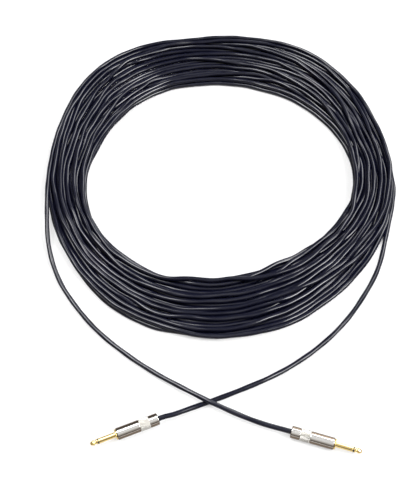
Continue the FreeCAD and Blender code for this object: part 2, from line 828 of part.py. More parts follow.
def make_coil(doc, label, s, coil):
    """The wound cord as one unbroken tube, with the flat it stands on cut at floor level."""
    cord = s.cord_diameter.number
    edges = coil.edges(cord)
    tube = tube_along(edges, cord / 2, coil.way(0))
    box = tube.BoundBox
    below = coil.centre - Vector(0, 0, cord)
    quarters = []
    for x, y in ((box.XMin, box.YMin), (box.XMin, box.YMax), (box.XMax, box.YMin), (box.XMax, box.YMax)):
        corner = Vector(min(x, below.x), min(y, below.y), below.z)
        quarters.append(Part.makeBox(abs(x - below.x), abs(y - below.y), cord, corner))
    length = sum(edge.Length for edge in edges)
    print(f"{label}: {coil.turns:g} turns, {length / 1000:.2f} m, "
          f"least gap to itself {least_gap(edges, cord):.2f} mm")
    return add_shape(doc, label, tube.cut(quarters))


def make_lead(doc, label, s, at, coil_end, coil_way, route, plug):
    """Free stretch of cord from the coil, along its route and straight into its plug."""
    cord = s.cord_diameter.number
    points = [coil_end, coil_end + coil_way * s.lead_straight.number]
    points += [Vector(x, y, cord * (height + 0.5)) for x, y, height in route]
    points.append(plug.multVec(Vector(-s.plug_lead_straight.number, 0, 0)))
    points.append(plug.multVec(Vector(at.jacket_end.number, 0, 0)))
    edges = route_edges(points, label)
    print(f"{label}: {sum(edge.Length for edge in edges) / 1000:.3f} m")
    return add_shape(doc, label, tube_along(edges, cord / 2, coil_way))


def make_pigtail(doc, label, placement, s, at):
    """Twisted screen: out of the jacket's cut end, down a slope and along the ground strip."""
    start = Vector(at.jacket_end.number, 0, -s.pigtail_drop.number)
    low = at.strip_top.number + s.pigtail_diameter.number / 2
    bend = start + Vector(s.pigtail_straight.number, 0, 0)
    landing = Vector(at.pigtail_landing.number, 0, low)
    finish = landing + Vector(s.pigtail_foot.number, 0, 0)
    edges = route_edges([start, bend, landing, finish], label)
    feature = add_shape(doc, label, tube_along(edges, s.pigtail_diameter.number / 2, Vector(1, 0, 0)))
    feature.Placement = placement
    return feature


def plug_placement(s, side):
    """Frame of a plug: on the floor, x from the barrel's rear face along the finger."""
    x = getattr(s, f"{side}_plug_x").number
    y = getattr(s, f"{side}_plug_y").number
    heading = getattr(s, f"{side}_plug_heading").number
    height = max(s.knurl_diameter.number, s.barrel_diameter.number) / 2
    return FreeCAD.Placement(Vector(x, y, height), FreeCAD.Rotation(UP, heading))


def make_plug(doc, side, s, at, placement):
    """All fourteen pieces of one plug."""
    pieces = {
        "barrel": make_barrel,
        "liner": make_liner,
        "sleeve_contact": make_sleeve_contact,
        "tip_contact": make_tip_contact,
        "ring_insulator": make_ring_insulator,
        "tube_insulator": make_tube_insulator,
        "rear_washer": make_rear_washer,
        "ground_terminal": make_ground_terminal,
        "tip_terminal": make_tip_terminal,
        "cable_core": make_cable_core,
        "centre_wire": make_centre_wire,
        "shield_pigtail": make_pigtail,
    }
    made = [make(doc, f"{side}_{name}", placement, s, at) for name, make in pieces.items()]
    pad_top = -(s.wire_diameter / 2)
    made.append(make_solder(
        doc, f"{side}_tip_solder", placement, s, at.lug_solder, pad_top, s.wire_diameter / 2))
    made.append(make_solder(
        doc, f"{side}_ground_solder", placement, s, at.ground_solder, at.strip_top, s.pigtail_diameter / 2))
    return made


def check_document(doc, sub_parts):
    """Stop if any object failed, or if a sub-part isn't one valid solid."""
    for item in doc.Objects:
        if "Invalid" in item.State or "Error" in item.State:
            raise RuntimeError(f"{item.Label} failed: {item.State}")
    for sub_part in sub_parts:
        shape = sub_part.Shape
        if shape.isNull() or not shape.isValid() or len(shape.Solids) != 1:
            raise RuntimeError(f"{sub_part.Label} is not one valid solid")


def main():
    doc = FreeCAD.newDocument("instrument_cable")
    s = make_sheet(doc)
    at = plug_stations(s)
    coil = Coil(s)
    placements = {side: plug_placement(s, side) for side in ("left", "right")}

    sub_parts = []
    for side, placement in placements.items():
        sub_parts += make_plug(doc, side, s, at, placement)
    sub_parts.append(make_coil(doc, "cable_coil", s, coil))
    first, last = coil.ends(s.cord_diameter.number)
    sub_parts.append(make_lead(
        doc, "left_plug_lead", s, at, first, -coil.way(0), LEFT_PLUG_ROUTE, placements["left"]))
    sub_parts.append(make_lead(
        doc, "right_plug_lead", s, at, last, coil.way(coil.turns), RIGHT_PLUG_ROUTE,
        placements["right"]))

    doc.recompute()
    check_document(doc, sub_parts)
    os.makedirs("parts", exist_ok=True)
    for sub_part in sub_parts:
        sub_part.Shape.exportStep(f"parts/{sub_part.Label}.step")
    print(f"{len(sub_parts)} sub-parts written")


main()
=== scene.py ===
# %% [markdown]
# # An instrument cable, dressed for its photograph
#
# The object is one long black cord, wound in a loose round coil, with a quarter-inch plug on
# each end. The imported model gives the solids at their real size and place. This lesson gives
# them their looks: the cord as one flexible line, the knurl and thread of the plugs, and a
# finish for every surface. All lengths are metres, +Z is up and the floor is z = 0.

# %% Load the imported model
import json
import math

import bpy
import numpy as np
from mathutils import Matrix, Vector


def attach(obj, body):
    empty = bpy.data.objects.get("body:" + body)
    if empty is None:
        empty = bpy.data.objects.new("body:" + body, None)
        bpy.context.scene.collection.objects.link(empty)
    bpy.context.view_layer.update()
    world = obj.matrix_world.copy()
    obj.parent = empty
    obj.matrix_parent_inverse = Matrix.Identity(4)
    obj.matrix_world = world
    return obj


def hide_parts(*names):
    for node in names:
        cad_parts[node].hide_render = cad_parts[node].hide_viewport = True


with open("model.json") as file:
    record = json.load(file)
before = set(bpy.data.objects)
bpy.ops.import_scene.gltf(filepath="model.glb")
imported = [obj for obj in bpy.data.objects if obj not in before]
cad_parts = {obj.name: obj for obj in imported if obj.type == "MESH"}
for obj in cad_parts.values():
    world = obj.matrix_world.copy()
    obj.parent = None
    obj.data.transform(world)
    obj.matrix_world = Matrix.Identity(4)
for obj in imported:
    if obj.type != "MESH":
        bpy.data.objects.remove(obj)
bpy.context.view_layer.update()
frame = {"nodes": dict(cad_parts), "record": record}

SCENE = bpy.context.scene
SCENE.view_settings.view_transform = "Standard"

# %% [markdown]
# ## Camera
#
# The coil is round, so its outline in the picture gives the camera's height: a circle seen from
# 56.5 degrees above the floor is as flat as the one in the photograph. A 75 mm lens gives the
# right narrowing between the near and the far side. The target is the floor point that lies at
# the picture's middle.

# %% Place the camera
CAMERA_ELEVATION = math.radians(56.5)
CAMERA_DISTANCE = 1.135
CAMERA_TARGET = np.array([-0.0255, 0.2602, 0.0])


def add_object(name, data):
    """Put data into the scene as an object at the origin."""
    thing = bpy.data.objects.new(name, data)
    SCENE.collection.objects.link(thing)
    return thing


lens = bpy.data.cameras.new("camera")
lens.lens = 75.0
lens.sensor_width = 36.0
lens.sensor_fit = "HORIZONTAL"
camera = add_object("camera", lens)
towards_camera = np.array([0.0, -math.cos(CAMERA_ELEVATION), math.sin(CAMERA_ELEVATION)])
camera.location = CAMERA_TARGET + CAMERA_DISTANCE * towards_camera
camera.rotation_euler = (math.pi / 2 - CAMERA_ELEVATION, 0.0, 0.0)
SCENE.camera = camera
print("camera at", [round(v, 3) for v in camera.location])

# %% [markdown]
# ## Shader maths
#
# A finish is a small program. Wrapping a socket in a class with +, - and * lets the program
# read like one: an expression on values adds its Math nodes by itself. Every other node comes
# from one method, which takes its type, its settings and what goes into its sockets.

# %% Values


class Value:
    """A number that varies over a surface: arithmetic on it adds Math nodes to its tree."""

    def __init__(self, nodes, socket):
        self.nodes = nodes
        self.socket = socket

    def maths(self, operation, *others):
        """Result of a Math node whose sockets take this value and then the others."""
        return self.nodes.node("Math", {"operation": operation}, dict(enumerate((self,) + others)))

    def __add__(self, other):
        return self.maths("ADD", other)

    __radd__ = __add__

    def __mul__(self, other):
        return self.maths("MULTIPLY", other)

    __rmul__ = __mul__

    def __sub__(self, other):
        return self.maths("SUBTRACT", other)

    def __rsub__(self, other):
        """other - value, as value * -1 + other."""
        return (self * -1.0) + other


print("a Value adds, multiplies and subtracts")

# %% Nodes


class Nodes:
    """A node tree that is built by naming each node's type, settings and inputs."""

    def __init__(self, tree):
        self.tree = tree

    def node(self, kind, settings=None, inputs=None, output=0):
        """Add a node of that kind, set it up, feed its sockets and return one output."""
        made = self.tree.nodes.new("ShaderNode" + kind)
        for name, value in (settings or {}).items():
            setattr(made, name, value)
        for name, value in (inputs or {}).items():
            self.feed(made.inputs[name], value)
        return Value(self, made.outputs[output])

    def feed(self, socket, value):
        """Link a value to a socket, or set the socket to a plain number or colour."""
        if isinstance(value, Value):
            self.tree.links.new(value.socket, socket)
        elif isinstance(value, (tuple, list)) and socket.type == "RGBA":
            socket.default_value = (*value[:3], 1.0)
        else:
            socket.default_value = value

    def parts(self, vector):
        """The three numbers of a vector."""
        split = self.node("SeparateXYZ", None, {"Vector": vector})
        return [Value(self, socket) for socket in split.socket.node.outputs]

    def vector(self, x, y, z):
        """A vector from its three numbers."""
        return self.node("CombineXYZ", None, {"X": x, "Y": y, "Z": z})

    def noise(self, vector, scale, detail, roughness):
        """Clouds around 0.5, scale of them in a unit of the vector.

        Each of the detail finer layers is roughness times as strong as the one before.
        """
        return self.node("TexNoise", None, {
            "Vector": vector, "Scale": scale, "Detail": detail, "Roughness": roughness})

    def mix(self, factor, first, second):
        """Colour first * (1 - factor) + second * factor.

        The node's colours go into its sockets 6 and 7, and the mixed colour is its output 2.
        """
        return self.node("Mix", {"data_type": "RGBA"}, {0: factor, 6: first, 7: second}, output=2)

    def range(self, value, low, high, to_low=0.0, to_high=1.0, kind="LINEAR"):
        """Value moved from the range low..high to the range to_low..to_high, and held there."""
        return self.node("MapRange", {"clamp": True, "interpolation_type": kind}, {
            "Value": value, "From Min": low, "From Max": high, "To Min": to_low, "To Max": to_high})

    def bump(self, height, depth, strength):
        """Normal that leans as if the surface rose by height * depth, in metres."""
        return self.node("Bump", None, {"Height": height, "Distance": depth, "Strength": strength})


print("Nodes adds nodes to a tree")

# %% Finishes


class Finish(Nodes):
    """A material with one Principled shader, filled in by keyword."""

    def __init__(self, name, **sockets):
        self.material = bpy.data.materials.new(name)
        self.material.use_nodes = True
        super().__init__(self.material.node_tree)
        self.shader = self.tree.nodes["Principled BSDF"]
        self.set(**sockets)

    def set(self, **sockets):
        """Feed the shader's sockets: coat_weight, for one, goes into Coat Weight."""
        for name, value in sockets.items():
            socket = name.replace("_", " ").title().replace("Ior", "IOR")
            self.feed(self.shader.inputs[socket], value)

    def place(self):
        """Object coordinates, in metres."""
        return self.node("TexCoord", output="Object")

    def chart(self):
        """The piece's own map: turns around it, and metres along it."""
        turns, metres, _ = self.parts(self.node("UVMap"))
        return turns, metres


print("a Finish is a material")

# %% [markdown]
# ## Floor, light and air
#
# The cord lies on a white sheet in a bright room. The floor keeps soft shadows, and polished
# metal shows the room around it, so the world is a soft picture of a room: a pale ceiling, a
# bright side on the right, a grey wall behind on the left and the dark brown of whatever stands
# on the near side. Three wide lights hang in it, the strongest on the right. In the glossy cord
# each light draws a thin bright line, but only where the cord runs across its direction, and
# that is why some parts of the coil shine and others stay black. Each light is both a bright
# round patch in the world, for the gloss, and a soft lamp, for the shadows.

# %% Paint the room
WHITE = (1.0, 1.0, 1.0)
# Where each light hangs and how bright it is in a mirror
LIGHTS = (((0.64, -0.22, 0.735), 15.0), ((-0.31, 0.26, 0.915), 12.0), ((0.45, 0.53, 0.72), 8.0))
# Cosine of the angle from a light's middle, where it begins and where it is full
LIGHT_EDGE, LIGHT_FULL = 0.95, 0.972
# Share of the room's light that dull surfaces don't get
HELD_BACK = 0.75


def grey(level):
    """Colour whose red, green and blue are all the same."""
    return (level, level, level)


world = bpy.data.worlds.new("room")
SCENE.world = world
world.use_nodes = True
world.node_tree.nodes.clear()
air = Nodes(world.node_tree)
east, north, height_up = air.parts(air.node("TexCoord", output="Generated"))
# The ceiling is brightest a little to the near side of straight up
upward = height_up * 0.985 + north * -0.17
ceiling = air.range(upward, 0.88, 0.96, kind="SMOOTHSTEP")
# The near side gets paler with height: there stands the dark photographer
near_glow = air.range(height_up, 0.20, 0.90).maths("POWER", 1.5)
near_wall = air.mix(near_glow, (0.13, 0.10, 0.075), (1.0, 0.98, 0.95))
high_glow = air.range(height_up, 0.75, 0.99)
# The far side has a grey wall, and on its right a window that shines low down
grey_wall = air.mix(high_glow, grey(0.42), grey(0.58))
window_wall = air.mix(air.range(height_up, 0.40, 0.55), (4.6, 4.7, 4.8), grey(0.70))
right_of_middle = air.range(east, 0.0, 0.2, kind="SMOOTHSTEP")
right_side = right_of_middle * air.range(east, 0.60, 0.45, kind="SMOOTHSTEP")
far_wall = air.mix(right_side, grey_wall, window_wall)
far_side = air.range(north, -0.10, 0.10, kind="SMOOTHSTEP")
walls = air.mix(far_side, near_wall, far_wall)
room = air.mix(ceiling, walls, grey(0.95))
for light, strength in LIGHTS:
    facing = east * light[0] + north * light[1] + height_up * light[2]
    patch = air.range(facing, LIGHT_EDGE, LIGHT_FULL, kind="SMOOTHSTEP")
    room = air.mix(patch, room, grey(strength))
seen = air.node("LightPath", output="Is Camera Ray")
diffuse = air.node("LightPath", output="Is Diffuse Ray")
backdrop = air.mix(seen, room, WHITE)
# Mirrors show the room as bright as it is in the photograph. Its soft light is held lower,
# so that room and lamps together light a surface at a plain level.
glow = air.node("Background", None, {"Color": backdrop, "Strength": 1.0 - diffuse * HELD_BACK})
air.feed(air.tree.nodes.new("ShaderNodeOutputWorld").inputs["Surface"], glow)
print("the room has", len(LIGHTS), "lights")

# %% Lay the floor
HALF_FLOOR = 4.0
# The sheet was lit until it looked white: for the eye, and in polished metal, most of its
# colour is plain white, and its shadows are as faint as in the photograph
WHITENESS = 0.68
# No light gets into the narrow gaps between the cord's strands. The openness of a place is the
# share of directions in which nothing stands within reach. Below the first openness there is
# no plain white, and above the second all of it.
GAP_REACH = 0.014
SHUT, OPEN = 0.12, 0.48

sheet_mesh = bpy.data.meshes.new("floor")
corners = [(x * HALF_FLOOR, y * HALF_FLOOR, 0) for x, y in ((-1, -1), (1, -1), (1, 1), (-1, 1))]
sheet_mesh.from_pydata(corners, [], [(0, 1, 2, 3)])
floor = add_object("floor", sheet_mesh)
floor_finish = Finish("floor_paper", base_color=grey(0.93), roughness=0.9, specular_ior_level=0.1)
camera_ray, glossy_ray, through_ray = (
    floor_finish.node("LightPath", output=ray)
    for ray in ("Is Camera Ray", "Is Glossy Ray", "Is Transmission Ray"))
openness = floor_finish.node(
    "AmbientOcclusion", {"samples": 8}, {"Distance": GAP_REACH}, output="AO")
white_share = floor_finish.range(openness, SHUT, OPEN, 0.0, WHITENESS)
share = (camera_ray + glossy_ray + through_ray) * white_share
white_light = floor_finish.node("Emission", None, {"Color": WHITE, "Strength": 1.0})
lit = floor_finish.node("MixShader", None, {
    0: share, 1: Value(floor_finish, floor_finish.shader.outputs[0]), 2: white_light})
floor_finish.feed(floor_finish.tree.nodes["Material Output"].inputs["Surface"], lit)
sheet_mesh.materials.append(floor_finish.material)
print("floor is", 2.0 * HALF_FLOOR, "m wide")

# %% Hang the lamps
# A light that is this bright in a mirror belongs to a lamp of strength 1
MIRROR_PER_LAMP = 18.0
LAMP_DEGREES = 28


def add_window(name, towards, energy, degrees):
    """A wide far lamp that shines from the given direction."""
    lamp = bpy.data.lights.new(name, "SUN")
    lamp.energy = energy
    lamp.angle = math.radians(degrees)
    thing = add_object(name, lamp)
    thing.rotation_euler = Vector(towards).to_track_quat("Z", "Y").to_euler()


for number, (light, strength) in enumerate(LIGHTS):
    add_window(f"window_{number + 1}", light, strength / MIRROR_PER_LAMP, LAMP_DEGREES)
print(len(LIGHTS), "lamps hang")

# %% [markdown]
# ## The cord's line
#
# The cord is one flexible line, about 32 m long. It leaves the left plug, passes under its other
# end, joins the coil at the bottom on the right and leaves it at the top on the left. The free
# stretches follow a few points. The coil's points are worked out turn by turn: four layers,
# wound in, out, in and out again, with a slow wander, because nobody lays a cord like a machine.

# %% Control points of the free stretches
CORD = 0.006
# How far inside a barrel the jacket ends, and how far the cord runs straight behind a plug and
# out of the coil
JACKET_END = 0.025
PLUG_LEAD_STRAIGHT = 0.012
LEAD_STRAIGHT = 0.030
# x, y and the height of the cord's underside above the floor, in metres
LEFT_PLUG_ROUTE = [
    (0.2165, 0.266, 0.0),
    (0.2085, 0.239, 0.0),
    (0.197, 0.213, 0.0),
    (0.181, 0.187, 0.0),
    (0.1635, 0.161, 0.0),
    (0.141, 0.135, 0.0),
    (0.116, 0.112, 0.0),
    (0.087, 0.0905, 0.0),
    (0.057, 0.073, 0.0),
    (0.026, 0.059, 0.0),
    (-0.004, 0.0465, 0.0),
    (-0.033, 0.035, 0.0012),
    (-0.050, 0.0278, 0.0030),
    (-0.065, 0.0217, 0.0042),
]
RIGHT_PLUG_ROUTE = [
    (-0.236, 0.285, 0.0084),
    (-0.231, 0.257, 0.0038),
    (-0.2225, 0.2305, 0.0),
    (-0.210, 0.203, 0.0),
    (-0.193, 0.1775, 0.0),
    (-0.1735, 0.152, 0.0),
    (-0.1515, 0.129, 0.0),
    (-0.127, 0.1085, 0.0),
    (-0.101, 0.089, 0.0),
    (-0.074, 0.0713, 0.0013),
    (-0.0455, 0.0538, 0.0052),
    (-0.021, 0.0393, 0.0075),
    (0.003, 0.0285, 0.0055),
    (0.022, 0.0202, 0.0042),
    (0.040, 0.0132, 0.0038),
    (0.055, 0.0083, 0.0040),
]


class PlugFrame:
    """A plug's own axes: x runs from the barrel's rear face towards the tip, in metres."""

    FLANGE_FRONT = 0.0528

    def __init__(self, side):
        mount = next(m for m in frame["record"]["mounts"] if m["name"] == side + "_finger")
        self.along = np.array(mount["axis"], float)
        self.along /= np.linalg.norm(self.along)
        self.across = np.cross([0.0, 0.0, 1.0], self.along)
        self.rear = np.array(mount["pos_m"]) - self.along * self.FLANGE_FRONT

    def out(self, points):
        """Points from the plug's axes to the row frame; a plug's z stays up."""
        points = np.asarray(points, float)
        up = np.array([0.0, 0.0, 1.0])
        return (self.rear + points[..., :1] * self.along + points[..., 1:2] * self.across
                + points[..., 2:3] * up)


PLUGS = {side: PlugFrame(side) for side in ("left", "right")}
print({side: [round(v, 4) for v in plug.rear] for side, plug in PLUGS.items()})

# %% Measures of the coil
TINY = 1e-9
# Step from turn to turn in a layer, on the right, far, left and near side
PITCH = CORD + np.array([0.0037, 0.0050, 0.0029, 0.0036])
COIL_CENTRE = np.array([-0.0033, 0.3815])
LAYERS = 4
MIDDLE_LAYER = (LAYERS - 1) / 2
LAYER_TURNS = 5.0
# Each layer lies this much further back than the one below
LAYER_SHIFT = 0.0087
# Points in a turn
STATIONS = 120
# turns, first and last step in the layer, first and last layer
STRETCHES = [
    (5.5, 5.5, 0.0, 0, 0),
    (0.5, 0.0, 0.0, 0, 1),
    (5.0, 0.0, 5.0, 1, 1),
    (0.5, 5.0, 5.0, 1, 2),
    (5.0, 5.0, 0.0, 2, 2),
    (0.5, 0.0, 0.0, 2, 3),
    (5.5, 0.0, 5.5, 3, 3),
]
# Turns at which the line climbs to the next layer, how much earlier it starts to move back,
# and over how many turns it does
CLIMBS = [5.5, 11.0, 16.5]
CLIMB_LEAD = 0.1
CLIMB_TURNS = 0.35
# The lowest layer strays by this share of what the others do
LOWEST_STRAY = 0.35
# Softness of a turn that folds back at an edge: 1 would be a sharp corner
SOFTNESS = 0.985
# Each turn starts this much higher than the one before, so later turns come to lie on top
LIE = 0.0015
# The coil's inner and outer edge: distance from its centre every 30 degrees from the right side
INNER_EDGE = np.array([189, 186.5, 181, 178.5, 184.5, 181, 185, 188, 182, 168, 162.5, 175]) / 1000
OUTER_EDGE = np.array([247, 258, 289, 289, 289, 260, 242, 243, 256, 259, 249, 243]) / 1000
TURNS = sum(stretch[0] for stretch in STRETCHES)
print(TURNS, "turns in", LAYERS, "layers")

# %% The wound line


def smooth_step(t):
    """0 before t = 0, 1 after t = 1, and 3t^2 - 2t^3 between."""
    t = np.clip(t, 0.0, 1.0)
    return t * t * (3.0 - 2.0 * t)


def closed_curve(values, angle):
    """Smooth closed curve through values at equal angles: the sum of their Fourier waves."""
    waves = np.fft.rfft(values) / len(values)
    total = np.full_like(angle, waves[0].real)
    for number in range(1, len(waves)):
        both = 1.0 if 2 * number == len(values) else 2.0
        total += both * (waves[number] * np.exp(1j * number * angle)).real
    return total


def fold(part):
    """Triangle wave with soft turns: what would leave the band 0..1 comes back into it.

    It is arccos(softness * cos(pi * part)) / pi, moved and stretched to run from 0 to 1.
    """
    least = math.acos(SOFTNESS) / math.pi
    wave = np.arccos(SOFTNESS * np.cos(math.pi * part)) / math.pi
    return (wave - least) / (1.0 - 2.0 * least)


def coil_line(turn, stray):
    """Angle, distance from the centre and height of the wound line at places counted in turns.

    Within its layer the line lies step * pitch further out than the layer's first turn, where
    the pitch passes from one side's value to the next one's along sin^2. Each layer lies
    further back than the one below. The turns are then spread evenly between the coil's two
    edges, and stray from there: the lowest layer least, for it lies on the floor.
    """
    step = np.zeros_like(turn)
    layer = np.zeros_like(turn)
    start = 0.0
    for length, first, last, lower, upper in STRETCHES:
        here = (turn >= start - TINY) & (turn <= start + length + TINY)
        part = np.clip((turn - start) / length, 0.0, 1.0)
        step = np.where(here, first + (last - first) * part, step)
        layer = np.where(here, lower + (upper - lower) * smooth_step(part), layer)
        start += length
    quarter = np.floor(turn * 4.0 + TINY).astype(int)
    blend = np.sin((turn * 4.0 - quarter) * math.pi / 2.0) ** 2
    near, far = quarter % 4, (quarter + 1) % 4
    pitch = PITCH[near] * (1.0 - blend) + PITCH[far] * blend
    angle = 2.0 * math.pi * turn
    moved = sum(smooth_step((turn - climb + CLIMB_LEAD) / CLIMB_TURNS) for climb in CLIMBS)
    back = (moved - MIDDLE_LAYER) * LAYER_SHIFT * np.sin(angle)
    # Share of all turns that lie further in than this place, if each layer is evenly filled
    place = pitch * step + back
    layer_back = (np.arange(LAYERS)[:, None] - MIDDLE_LAYER) * LAYER_SHIFT * np.sin(angle)
    part = np.clip((place - layer_back) / (pitch * (LAYER_TURNS + 0.5)), 0.0, 1.0).mean(0)
    part = fold(part + stray * (LOWEST_STRAY + (1.0 - LOWEST_STRAY) * smooth_step(layer)))
    lowest, highest = coil_limits(angle)
    return angle, lowest + part * (highest - lowest), CORD / 2.0 + LIE * turn


def coil_limits(angle):
    """Least and greatest distance of the cord's line from the coil's centre."""
    return (closed_curve(INNER_EDGE, angle) + CORD / 2.0,
            closed_curve(OUTER_EDGE, angle) - CORD / 2.0)


turn = np.arange(int(TURNS * STATIONS) + 1) / STATIONS
print("the line has", len(turn), "points")

# %% [markdown]
# ## Letting the coil settle
#
# Real turns wander, lean on each other and sink into the gaps below. All turns cross a
# station, a half plane through the coil's axis, almost at a right angle, so at each station
# the cord is a set of circles. A few hundred rounds of pulling down, pushing apart what
# overlaps, drawing wide gaps together and evening out each turn along its length settle them
# like a real loose coil.

# %% Wander
rng = np.random.default_rng(145)
# A wave's length differs from an even series by a factor between these
UNEVEN = (0.93, 1.07)


def wander(turn, amplitude, lowest, highest, waves):
    """Sum of sines along the cord with random lengths and phases; longer ones swing wider.

    It is amplitude / sqrt(waves / 2) times the sum of sin(2 pi (frequency * turn + phase)) /
    sqrt(frequency), where the frequencies lie between lowest and highest, in waves per turn.
    """
    total = np.zeros_like(turn)
    for frequency in np.geomspace(lowest, highest, waves) * rng.uniform(*UNEVEN, waves):
        total += np.sin(2.0 * math.pi * (frequency * turn + rng.uniform())) / frequency ** 0.5
    return total * amplitude / math.sqrt(waves / 2.0)


# The wander fades out within a third of a turn of either end
ends = smooth_step(turn * 3.0) * smooth_step((TURNS - turn) * 3.0)
stray = wander(turn, amplitude=0.10, lowest=0.3, highest=3.0, waves=10) * ends
angle, radius, height = coil_line(turn, stray)
limits = coil_limits(angle)
radius += wander(turn, amplitude=0.0014, lowest=4.0, highest=9.0, waves=6) * ends
radius += wander(turn, amplitude=0.0028, lowest=12.0, highest=26.0, waves=9) * ends
print("wound between", round(float(radius.min()), 3), "and", round(float(radius.max()), 3), "m")

# %% Settle
# Turns whose distances from the centre differ by more than this draw together, for a coil is
# pressed together in the hand
CLOSE = 0.0046
# Only the outermost turn lies loose, on the near side
LOOSE = 0.0105
LOOSE_FROM, LOOSE_TO = int(STATIONS * 238 / 360), int(STATIONS * 268 / 360)
# The last row of turns isn't full. Its empty places lie nowhere near, across a gap that no two
# turns have, so nothing there is pushed or pulled.
NOWHERE = 9.0
WIDEST_GAP = 0.1
# Circles keep 2% of air between them. In a round, this share of an overlap, of a wide gap and
# of a kink in the turn is taken away, and sinking and evening slow down to this pace.
AIR = 1.02
PUSH, PRESS, EVEN = 0.7, 0.3, 0.45
SLOWEST = 0.3


def pressed(r, close):
    """How far each turn is pulled towards its neighbours: gap - close, where that is positive."""
    order = np.argsort(r, axis=0)
    gap = np.diff(np.take_along_axis(r, order, 0), axis=0)
    wide = np.where(gap < WIDEST_GAP, np.clip(gap - close, 0.0, None), 0.0)
    pull = np.zeros_like(r)
    pull[:-1] += wide
    pull[1:] -= wide
    moved = np.zeros_like(r)
    np.put_along_axis(moved, order, pull, 0)
    return moved.reshape(-1)


def settle(radius, height, limits, rounds, reach, sink):
    """Push overlapping turns apart at each station while all of them sink towards the floor.

    The radius stays within reach of where it was wound. The limits are the coil's edges.
    Points are kept in rows of one turn each, so a column holds every turn's circle at one
    station. Overlap = diameter - distance, shared between both circles of a pair.
    Kink = the moves of the places before and after, less twice the place's own.
    """
    home_radius, home_height = radius.copy(), height.copy()
    count = len(radius)
    rows = -(-count // STATIONS)
    padding = rows * STATIONS - count
    close = np.full((rows - 1, STATIONS), CLOSE)
    close[int(TURNS) - 2, LOOSE_FROM:LOOSE_TO] = LOOSE
    for number in range(rounds):
        pace = SLOWEST + (1.0 - SLOWEST) * (1.0 - number / rounds)
        height = height - sink * pace
        r = np.pad(radius, (0, padding), constant_values=NOWHERE).reshape(rows, STATIONS)
        z = np.pad(height, (0, padding)).reshape(rows, STATIONS)
        away_r = r[:, None] - r[None]
        away_z = z[:, None] - z[None]
        distance = np.sqrt(away_r ** 2 + away_z ** 2) + TINY
        overlap = np.clip(CORD * AIR - distance, 0.0, None)
        overlap[np.arange(rows), np.arange(rows)] = 0.0
        push = 0.5 * overlap / distance
        radius = radius + (push * away_r).sum(1).reshape(-1)[:count] * PUSH
        radius = radius + pressed(r, close)[:count] * PRESS
        height = height + (push * away_z).sum(1).reshape(-1)[:count] * PUSH
        height = np.maximum(height, CORD / 2.0)
        for values, home in ((radius, home_radius), (height, home_height)):
            gone = values - home
            gone[1:-1] += EVEN * (gone[:-2] + gone[2:] - 2.0 * gone[1:-1]) * pace
            values[:] = home + gone
        radius = np.clip(radius, home_radius - reach, home_radius + reach)
        radius = np.clip(radius, *limits)
        height = np.maximum(height, CORD / 2.0)
    return radius, height


radius, height = settle(radius, height, limits, rounds=600, reach=0.0060, sink=0.00014)
coil_points = np.stack([
    COIL_CENTRE[0] + radius * np.cos(angle),
    COIL_CENTRE[1] + radius * np.sin(angle),
    height], axis=1)
print("coil settles to a height of", round(float(height.max() + CORD / 2), 4),
      "and its ends to", round(float(height[0]), 4), round(float(height[-1]), 4))

# %% [markdown]
# ## One spline for the whole cord
#
# A NURBS spline of order 3 runs close to its control points on one smooth curve, which suits a
# cord: it never kinks. Its tube is a grid of rings, because a grid can carry its own map: one
# direction around the jacket and one along it.

# %% Make the spline and read its points


def lead_points(side, route, coil_end, coil_way):
    """Control points from a plug's jacket end, over its route, to the coil's end."""
    plug = PLUGS[side]
    points = [plug.out([JACKET_END, 0, 0]), plug.out([-PLUG_LEAD_STRAIGHT, 0, 0])]
    points += [np.array([x, y, z + CORD / 2]) for x, y, z in reversed(route)]
    points.append(coil_end + coil_way * LEAD_STRAIGHT)
    return np.array(points)


def unit(vector):
    """Vectors divided by their lengths."""
    return vector / np.linalg.norm(vector, axis=-1, keepdims=True)


first_way = unit(coil_points[0] - coil_points[1])
last_way = unit(coil_points[-1] - coil_points[-2])
first_way[2] = last_way[2] = 0.0
control = np.vstack([
    lead_points("left", LEFT_PLUG_ROUTE, coil_points[0], first_way),
    coil_points,
    lead_points("right", RIGHT_PLUG_ROUTE, coil_points[-1], last_way)[::-1],
])


def spline_points(name, control, resolution):
    """Points along an open NURBS spline of order 3 through both of its end points."""
    curve = bpy.data.curves.new(name, "CURVE")
    curve.dimensions = "3D"
    curve.resolution_u = resolution
    spline = curve.splines.new("NURBS")
    spline.points.add(len(control) - 1)
    spline.points.foreach_set("co", np.hstack([control, np.ones((len(control), 1))]).ravel())
    spline.order_u = 3
    spline.use_endpoint_u = True
    thing = add_object(name, curve)
    mesh = bpy.data.meshes.new_from_object(thing)
    points = np.empty(len(mesh.vertices) * 3)
    mesh.vertices.foreach_get("co", points)
    bpy.data.objects.remove(thing)
    bpy.data.meshes.remove(mesh)
    bpy.data.curves.remove(curve)
    return points.reshape(-1, 3)


def lengths_along(points):
    """Length of the line from its first point to each of its points."""
    return np.concatenate([[0.0], np.cumsum(np.linalg.norm(np.diff(points, axis=0), axis=1))])


fine = spline_points("cord_line", control, resolution=8)
fine_run = lengths_along(fine)
cord_length = float(fine_run[-1])
print("cord length", round(cord_length, 3), "m from", len(control), "control points")

# %% Skins from grids of points


